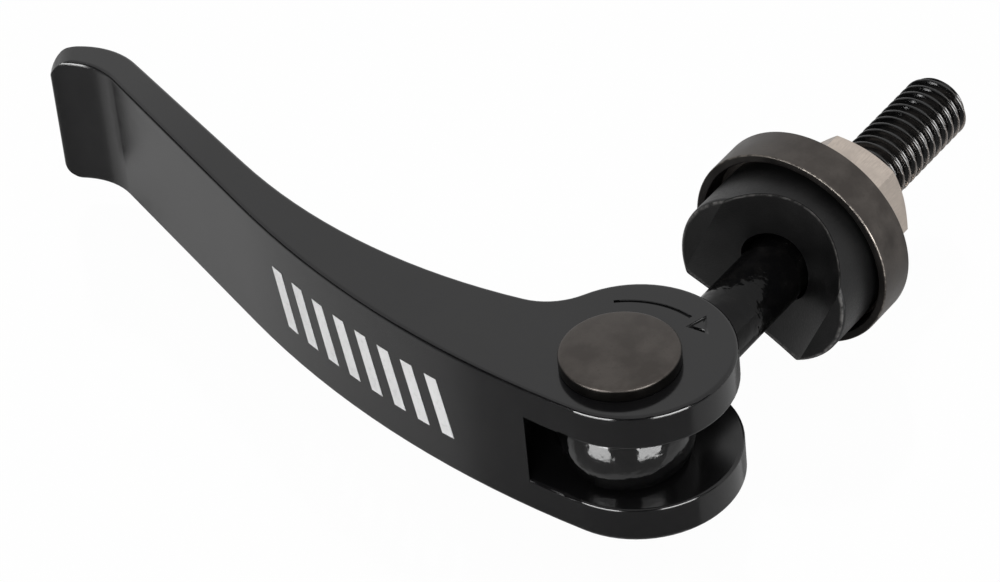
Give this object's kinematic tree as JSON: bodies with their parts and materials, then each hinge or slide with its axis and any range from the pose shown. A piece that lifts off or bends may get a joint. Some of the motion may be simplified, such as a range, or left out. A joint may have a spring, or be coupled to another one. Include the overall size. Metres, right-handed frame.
{
  "type": "cam lever",
  "caption": "Quick-release cam lever: a curved forked hand lever pinned in the ball eye of a threaded stud, with a saddle washer, a cup washer and a hex nut.",
  "frame": {"origin": "on the stud's axis where its free thread begins, at the nut's outer face", "axes": "+X along the stud, towards its threaded end; +Z along the pivot pin, towards its round head; +Y the way the lever's arm points at rest"},
  "size_m": [0.0555, 0.0761, 0.0187],
  "materials": {
    "lever_black": "black satin paint on a cast lever",
    "pin_steel": "dark satin plating",
    "stud_steel": "glossy black plating",
    "saddle_black": "matte moulded",
    "cup_steel": "dark satin plating, worn bright on the front edge",
    "nut_steel": "plain grey zinc"
  },
  "bodies": {
    "stud_body": {"eye_bolt": "stud_steel"},
    "lever_body": {"lever": "lever_black", "pivot_pin": "pin_steel"},
    "cup_body": {"cup_washer": "cup_steel"},
    "saddle_body": {"saddle_washer": "saddle_black"},
    "nut_body": {"nut": "nut_steel"}
  },
  "joints": [
    {"name": "lever_pivot", "type": "hinge", "parent": "stud_body", "child": "lever_body", "pos_m": [-0.03495, 0, 0], "axis": [0, 0, 1], "range_deg": [-35, 190]},
    {"name": "cup_slide", "type": "slide", "parent": "stud_body", "child": "cup_body", "axis": [1, 0, 0], "range_m": [-0.0096, 0.0011]},
    {"name": "saddle_turn", "type": "hinge", "parent": "cup_body", "child": "saddle_body", "pos_m": [-0.01095, 0, 0.00035], "axis": [1, 0, 0], "continuous": true},
    {"name": "nut_turn", "type": "hinge", "parent": "stud_body", "child": "nut_body", "pos_m": [-0.0026, 0, 0], "axis": [1, 0, 0], "continuous": true}
  ]
}
